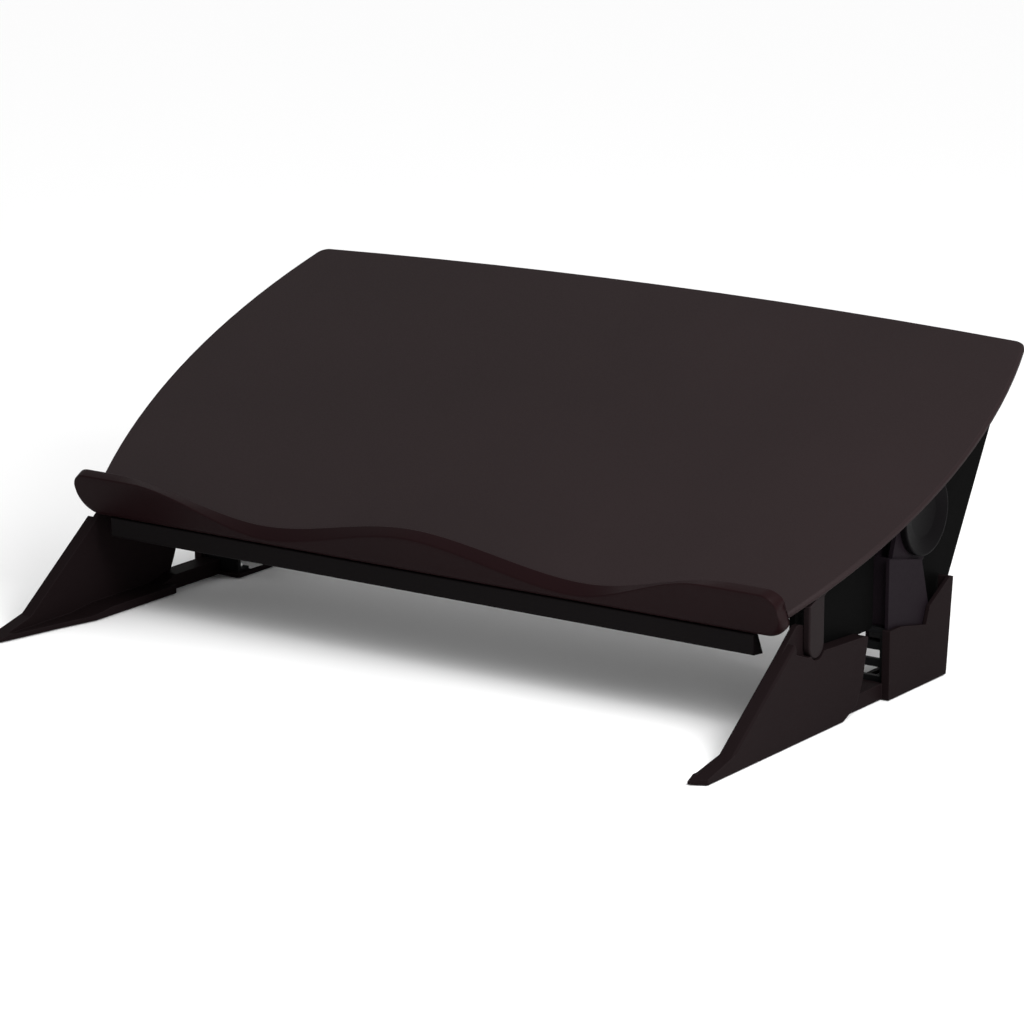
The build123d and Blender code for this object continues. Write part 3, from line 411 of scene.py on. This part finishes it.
new_s = add(wavy, "ShaderNodeMath", {0: s, 1: foot_limit}, operation="MINIMUM").outputs[0]
shorter = add(
    wavy, "ShaderNodeMapRange",
    {"Value": ahead, "From Max": given["Depth"], "To Min": 1.0,
     "To Max": 1 - FRONT_TRIM / LEDGE_HALF},
).outputs["Result"]
new_x = add(wavy, "ShaderNodeMath", {0: x, 1: shorter}, operation="MULTIPLY").outputs[0]
waved = add(
    wavy, "GeometryNodeSetPosition",
    {"Geometry": spaced.outputs[0],
     "Position": add(wavy, "ShaderNodeCombineXYZ", {0: new_x, 1: new_s, 2: new_h}).outputs[0]},
)
# the last millimetre shrinks along the surface's normals, so the ends have no sharp rim
inwards = add(wavy, "ShaderNodeMath", {0: end_round(END_EDGE_R), 1: -1.0}, operation="MULTIPLY")
normal = add(wavy, "GeometryNodeInputNormal").outputs[0]
shrink = add(
    wavy, "ShaderNodeVectorMath", {0: normal, "Scale": inwards.outputs[0]}, operation="SCALE"
)
eased = add(
    wavy, "GeometryNodeSetPosition", {"Geometry": waved.outputs[0], "Offset": shrink.outputs[0]}
)
on_slope = add(
    wavy, "GeometryNodeTransform",
    {"Geometry": eased.outputs[0], "Translation": (0, STOP_Y * MM, STOP_HEIGHT * MM),
     "Rotation": (TILT, 0, 0)},
)
satin = add(wavy, "GeometryNodeSetShadeSmooth", {"Geometry": on_slope.outputs[0]})
whole = add(wavy, "GeometryNodeRealizeInstances", {"Geometry": satin.outputs[0]})
painted = add(
    wavy, "GeometryNodeSetMaterial", {"Geometry": whole.outputs[0], "Material": given["Finish"]}
)
add(wavy, "NodeGroupOutput", {0: painted.outputs[0]})


def grow(piece, tree, inputs):
    """Runs a node tree on a piece and keeps the result as its plain mesh."""
    modifier = piece.modifiers.new(tree.name, "NODES")
    modifier.node_group = tree
    for item in tree.interface.items_tree:
        if item.in_out == "INPUT" and item.name in inputs:
            modifier[item.identifier] = inputs[item.name]
    graph = bpy.context.evaluated_depsgraph_get()
    made = bpy.data.meshes.new_from_object(piece.evaluated_get(graph), depsgraph=graph)
    piece.modifiers.remove(modifier)
    piece.data = made


inputs = {name: value * MM for name, value in ledge_sizes.items()}
inputs["Finish"] = ledge_abs
grow(page_ledge, wavy, inputs)
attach(page_ledge, "board")
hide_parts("page_ledge")

# ---- screws --------------------------------------------------------------
# Small pan-head screws with a cross recess, zinc plated, driven into the mouldings from
# below and behind. They hold ledge, side plates, ears, runners, stop and drawer front.
SCREW_R, HEAD_R, HEAD_H, POINT_H = 1.5, 3.0, 2.0, 0.6
SCREW_SIDES, RECESS_DEPTH = 24, 1.0
FLANGE_T, SCREW_BITE = 3.0, 3.2          # a plate's flange, and what the screw reaches past it
MOTTLE_MM = 2.0


def zinc_plated_steel(name):
    """Bright zinc over steel: pale blue-grey, slightly mottled, with soft reflections."""
    made = bpy.data.materials.new(name)
    made.use_nodes = True
    tree = made.node_tree
    tree.nodes.clear()
    place = add(tree, "ShaderNodeTexCoord").outputs["Object"]
    mottle = add(
        tree, "ShaderNodeTexNoise", {"Vector": place, "Scale": 1000 / MOTTLE_MM, "Detail": 4.0}
    )
    tone = add(
        tree, "ShaderNodeMix",
        {"Factor": mottle.outputs["Fac"], "A": linear("#a9adb2"), "B": linear("#c3c3bd")},
        data_type="RGBA",
    )
    rough = add(
        tree, "ShaderNodeMapRange",
        {"Value": mottle.outputs["Fac"], "To Min": 0.25, "To Max": 0.42},
    )
    skin = add(
        tree, "ShaderNodeBsdfPrincipled",
        {"Base Color": tone.outputs["Result"], "Metallic": 1.0,
         "Roughness": rough.outputs["Result"]},
    )
    add(tree, "ShaderNodeOutputMaterial", {"Surface": skin.outputs["BSDF"]})
    return made


def pan_screw(grip):
    """A pan-head screw standing on its seat at the origin, its shank pointing down."""
    outline = [(SCREW_R * 0.6, -grip), (SCREW_R, POINT_H - grip), (SCREW_R, 0.0), (HEAD_R, 0.0),
               (HEAD_R, 1.1), (HEAD_R - 0.25, 1.55), (HEAD_R - 0.8, 1.85), (HEAD_R - 1.3, HEAD_H)]
    rings = [(z, [radius] * SCREW_SIDES) for radius, z in outline]
    # the recess is a cross: its radius rises and falls once for each of the four arms
    arm = (1.35, 0.95, 0.5, 0.42, 0.5, 0.95)
    cross = [arm[i % len(arm)] for i in range(SCREW_SIDES)]
    rings += [(HEAD_H, cross), (HEAD_H - RECESS_DEPTH, [0.8 * radius for radius in cross])]
    turns = [2 * pi * i / SCREW_SIDES for i in range(SCREW_SIDES)]
    work = bmesh.new()
    loops = [
        [work.verts.new((r * cos(t) * MM, r * sin(t) * MM, z * MM)) for r, t in zip(radii, turns)]
        for z, radii in rings
    ]
    for lower, upper in zip(loops, loops[1:]):
        for i in range(SCREW_SIDES):
            j = (i + 1) % SCREW_SIDES
            work.faces.new((lower[i], lower[j], upper[j], upper[i]))
    work.faces.new(reversed(loops[0]))
    work.faces.new(loops[-1])
    mesh = bpy.data.meshes.new("pan_screw")
    work.to_mesh(mesh)
    work.free()
    mesh.polygons.foreach_set("use_smooth", [True] * len(mesh.polygons))
    mesh.set_sharp_from_angle(angle=radians(35))
    return bpy.data.objects.new("pan_screw", mesh)


driven = bpy.data.node_groups.new("driven_screws", "GeometryNodeTree")
driven.interface.new_socket("Seats", in_out="INPUT", socket_type="NodeSocketGeometry")
driven.interface.new_socket("Screws", in_out="OUTPUT", socket_type="NodeSocketGeometry")
driven.interface.new_socket("Screw", in_out="INPUT", socket_type="NodeSocketObject")
driven.interface.new_socket("Lean", in_out="INPUT", socket_type="NodeSocketFloat")
driven.interface.new_socket("Finish", in_out="INPUT", socket_type="NodeSocketMaterial")
given = add(driven, "NodeGroupInput").outputs
screw = add(driven, "GeometryNodeObjectInfo", {"Object": given["Screw"]})
lean = add(driven, "ShaderNodeCombineXYZ", {0: given["Lean"]})
stood = add(
    driven, "GeometryNodeInstanceOnPoints",
    {"Points": given["Seats"], "Instance": screw.outputs["Geometry"], "Rotation": lean.outputs[0]},
)
# each recess stops at its own angle
stop_at = add(driven, "FunctionNodeRandomValue", {"Max": pi / 2, "Seed": 11}, data_type="FLOAT")
spin = add(driven, "ShaderNodeCombineXYZ", {2: stop_at.outputs["Value"]})
spun = add(
    driven, "GeometryNodeRotateInstances",
    {"Instances": stood.outputs[0], "Rotation": spin.outputs[0], "Local Space": True},
)
whole = add(driven, "GeometryNodeRealizeInstances", {"Geometry": spun.outputs[0]})
painted = add(
    driven, "GeometryNodeSetMaterial", {"Geometry": whole.outputs[0], "Material": given["Finish"]}
)
add(driven, "NodeGroupOutput", {0: painted.outputs[0]})

zinc = zinc_plated_steel("zinc_plated_screw_steel")


def seats_on_slope(across, up, over):
    """Seats in metres, from mm across the board, up its slope and over its upper face."""
    return [
        (x * MM, (STOP_Y + s * cos(TILT) - over * sin(TILT)) * MM,
         (STOP_HEIGHT + s * sin(TILT) + over * cos(TILT)) * MM)
        for x in across for s in up
    ]


def drive_screws(node, body, seats, lean, grip):
    """Stands a screw on every seat and lets them take the place of the node."""
    dots = bpy.data.meshes.new(node)
    dots.from_pydata(seats, [], [])
    piece = bpy.data.objects.new(f"{node}_driven", dots)
    bpy.context.collection.objects.link(piece)
    grow(piece, driven, {"Screw": pan_screw(grip), "Lean": lean, "Finish": zinc})
    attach(piece, body)
    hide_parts(node)


facing_down, facing_back = pi + TILT, TILT - pi / 2
under_flange = -BOARD_T - FLANGE_T
plate_seats = seats_on_slope((-235.5, 235.5), (42.0, 140.0, 232.0), under_flange)
ear_seats = seats_on_slope((-251.3, 251.3), (58.0,), under_flange)
rail_seats = seats_on_slope((-225.3, 225.3), (24.0, 108.0, 192.0), -7.0)
ledge_seats = seats_on_slope((-200, -100, 0, 100, 200), (7.5,), -LEDGE_LOW)
stop_seats = seats_on_slope((-12, 12), (98.7,), -8.6)
front_seats = seats_on_slope((-160, -55, 55, 160), (-1.2,), -18.25)
drive_screws(
    "bracket_screws", "board", plate_seats + ear_seats, facing_down, grip=FLANGE_T + SCREW_BITE
)
drive_screws("runner_screws", "board", rail_seats, facing_down, grip=5.2)
drive_screws("ledge_screws", "board", ledge_seats, facing_down, grip=8.7)
drive_screws("stop_screws", "board", stop_seats, facing_down, grip=6.8)
drive_screws("drawer_front_screws", "drawer", front_seats, facing_back, grip=4.6)

# ---- legs ----------------------------------------------------------------
# One ABS moulding a side: long toe, wedge with the pivot at its tip, low bridge and open
# housing with a rear wing. Rubber pads are stuck below it, and the ladder, a slotted plate,
# is screwed on between wedge and housing.
DUST_MM, RIB_MM, RIB_DEPTH = 8.0, 2.827, 0.3
LADDER_SCREW_X, LADDER_SEAT_Y, LADDER_SEAT_Z = (230.0, 244.5), 119.6, 5.0

# satin black, a little cooler than the board, with a painted highlight along its edges
leg_abs = moulded_abs(
    "satin_abs_leg", "#130d0e", "#171112", grain_mm=0.9, roughness=0.5, specular=0.01,
    edge_highlight="#2c2627",
)
# a finer, duller black than the leg's, so that the slots stand out
ladder_abs = moulded_abs(
    "fine_textured_abs_ladder", "#0c0c0d", "#111112", grain_mm=0.7, roughness=0.5, specular=0.05,
    edge_highlight="#1c1c1d",
)

# moulded rubber: matt dark grey, a little dusty, with grip ribs across the pad
pad_rubber = bpy.data.materials.new("ribbed_moulded_rubber")
pad_rubber.use_nodes = True
tree = pad_rubber.node_tree
tree.nodes.clear()
place = add(tree, "ShaderNodeTexCoord").outputs["Object"]
dust = add(tree, "ShaderNodeTexNoise", {"Vector": place, "Scale": 1000 / DUST_MM, "Detail": 4.0})
tone = add(
    tree, "ShaderNodeMix",
    {"Factor": dust.outputs["Fac"], "A": linear("#161617"), "B": linear("#242425")},
    data_type="RGBA",
)
ribs = add(
    tree, "ShaderNodeTexWave",
    {"Vector": place, "Scale": WAVE_REPEAT / RIB_MM, "Distortion": 0.0},
    wave_type="BANDS", bands_direction="Y",
)
bump = add(
    tree, "ShaderNodeBump",
    {"Height": ribs.outputs["Fac"], "Distance": RIB_DEPTH * MM, "Strength": 0.8},
)
skin = add(
    tree, "ShaderNodeBsdfPrincipled",
    {"Base Color": tone.outputs["Result"], "Roughness": 0.85, "Specular IOR Level": 0.25,
     "Normal": bump.outputs["Normal"]},
)
add(tree, "ShaderNodeOutputMaterial", {"Surface": skin.outputs["BSDF"]})

for side, sign in (("left", -1), ("right", 1)):
    finish_node(f"leg_{side}", leg_abs)
    finish_node(f"foot_pads_{side}", pad_rubber)
    finish_node(f"ladder_{side}", ladder_abs)
    ladder_seats = [
        (sign * x * MM, (STOP_Y + LADDER_SEAT_Y) * MM, LADDER_SEAT_Z * MM) for x in LADDER_SCREW_X
    ]
    drive_screws(f"ladder_screws_{side}", f"leg_{side}", ladder_seats, lean=0.0, grip=4.2)

# ---- lift arms -----------------------------------------------------------
# A hollow moulded column on each side that hangs from a steel pin in the side plate and
# stands in the leg's housing. A round dished cap, pressed on, covers the pin's end.
HUB_Y, HUB_Z = 150.0, 103.0
CAP_BACK, CAP_FACE, CAP_R, RIM_R = 250.8, 255.0, 25.0, 0.9
CAP_BORE_R, CAP_BORE_DEPTH = 4.05, 0.8
DISH_DEPTH, DISH_FLOOR_R = 2.6, 13.6

# satin black with a faint cool cast
arm_abs = moulded_abs(
    "satin_abs_arm", "#130e12", "#171216", grain_mm=0.9, roughness=0.5, specular=0.015,
    edge_highlight="#2a262a",
)
# polished more than the rest, darkened nearly to black as painted shade, with a painted highlight
# round its rim
shade_painted_cap_abs = moulded_abs(
    "polished_abs_cap_painted_shade", "#060506", "#090809", grain_mm=0.5, roughness=0.35, specular=0.015,
    edge_highlight="#38363a",
)
hub_pin_profile = turned_pin(head_at=235.7, head_t=1.8, head_r=6.5, shank_r=4.0, tip=251.4)
cap_profile = [(CAP_BACK + CAP_BORE_DEPTH, 0), (CAP_BACK + CAP_BORE_DEPTH, CAP_BORE_R),
               (CAP_BACK, CAP_BORE_R), (CAP_BACK, CAP_R)]
rim_turns = [radians(15 * i) for i in range(7)]
cap_profile += [(CAP_FACE - RIM_R + RIM_R * sin(t), CAP_R - RIM_R + RIM_R * cos(t))
                for t in rim_turns]
cap_floor = CAP_FACE - DISH_DEPTH
cap_profile += [(CAP_FACE - 0.1, CAP_R - 2 * RIM_R), (cap_floor + 0.25, DISH_FLOOR_R + 1.1),
                (cap_floor, DISH_FLOOR_R), (cap_floor, 0)]
for side, sign in (("left", -1), ("right", 1)):
    body = f"arm_{side}"
    finish_node(f"lift_arm_{side}", arm_abs)
    profile = [(sign * x, radius) for x, radius in hub_pin_profile]
    turn_piece(f"hub_pin_{side}", body, pin_steel, profile, HUB_Y, HUB_Z)
    profile = [(sign * x, radius) for x, radius in cap_profile]
    turn_piece(f"hub_cap_{side}", body, shade_painted_cap_abs, profile, HUB_Y, HUB_Z, sides=96)

# ---- latches -------------------------------------------------------------
# A sliding ABS tongue in each arm that reaches for a slot of the ladder, and behind it a
# folded leaf spring of steel strip that pushes it out.

# smooth moulded black with a low sheen
latch_abs = moulded_abs(
    "smooth_abs_latch", "#100f10", "#151414", grain_mm=0.6, roughness=0.4, specular=0.1
)
# cold-rolled strip, a little darker and duller than the pins
spring_steel = lined_steel("rolled_spring_strip", "#9b9da1", line_mm=0.5655, roughness=0.35)
for side in ("left", "right"):
    finish_node(f"latch_{side}", latch_abs)
    finish_node(f"latch_spring_{side}", spring_steel)

# ---- studio --------------------------------------------------------------
# A plain pale floor of matt card, a bright room, a large soft light from the right and a
# long lens at the picture's viewing angle. None of it belongs to the object.
FLOOR_HALF = 30.0
SKY_TOP, HORIZON_LIGHT, TOP_LIGHT = (0.25, 0.1, 0.95), 0.45, 1.25
SOFTBOX_WATTS, SOFTBOX_SIDE = 11.0, 0.5
SOFTBOX_AT, SOFTBOX_AIM = (0.9, -0.35, 0.68), (0.2, -0.05, 0.05)
CAMERA_AT, CAMERA_DOWN, CAMERA_ROUND = (1.46836, -2.10448, 0.73083), 14.22, 34.78
LENS_PIXELS, FRAME_PIXELS, SENSOR_MM = 4407.77, 1024, 36

card = bpy.data.materials.new("matt_white_card")
card.use_nodes = True
card_skin = card.node_tree.nodes["Principled BSDF"]
card_skin.inputs["Base Color"].default_value = linear("#fafafa")
card_skin.inputs["Roughness"].default_value = 0.9
card_skin.inputs["Specular IOR Level"].default_value = 0.0
corners = [(a * FLOOR_HALF, b * FLOOR_HALF, 0) for a, b in ((-1, -1), (1, -1), (1, 1), (-1, 1))]
floor_mesh = bpy.data.meshes.new("floor")
floor_mesh.from_pydata(corners, [], [(0, 1, 2, 3)])
floor_mesh.materials.append(card)
floor = bpy.data.objects.new("floor", floor_mesh)
bpy.context.collection.objects.link(floor)

# the room is brightest overhead and dim along the horizon, so upright faces stay dark
world = bpy.data.worlds.new("studio")
world.use_nodes = True
tree = world.node_tree
tree.nodes.clear()
towards = add(tree, "ShaderNodeTexCoord").outputs["Generated"]
facing = add(tree, "ShaderNodeVectorMath", {0: towards, 1: SKY_TOP}, operation="DOT_PRODUCT")
level = add(
    tree, "ShaderNodeMapRange",
    {"Value": facing.outputs["Value"], "From Min": 0.0, "From Max": 0.9,
     "To Min": HORIZON_LIGHT, "To Max": TOP_LIGHT},
)
sky = add(
    tree, "ShaderNodeBackground", {"Color": linear("#ffffff"), "Strength": level.outputs[0]}
)
add(tree, "ShaderNodeOutputWorld", {"Surface": sky.outputs[0]})
bpy.context.scene.world = world

softbox = bpy.data.lights.new("softbox", "AREA")
softbox.energy = SOFTBOX_WATTS
softbox.size = SOFTBOX_SIDE
key = bpy.data.objects.new("softbox", softbox)
key.location = SOFTBOX_AT
key.rotation_euler = (Vector(SOFTBOX_AIM) - key.location).to_track_quat("-Z", "Y").to_euler()
bpy.context.collection.objects.link(key)

camera = bpy.data.cameras.new("camera")
camera.lens = LENS_PIXELS / FRAME_PIXELS * SENSOR_MM
camera.sensor_width = SENSOR_MM
camera.clip_end = 100
eye = bpy.data.objects.new("camera", camera)
eye.location = CAMERA_AT
eye.rotation_euler = (radians(90 - CAMERA_DOWN), 0, radians(CAMERA_ROUND))
bpy.context.collection.objects.link(eye)
bpy.context.scene.camera = eye
bpy.context.scene.view_settings.view_transform = "Standard"
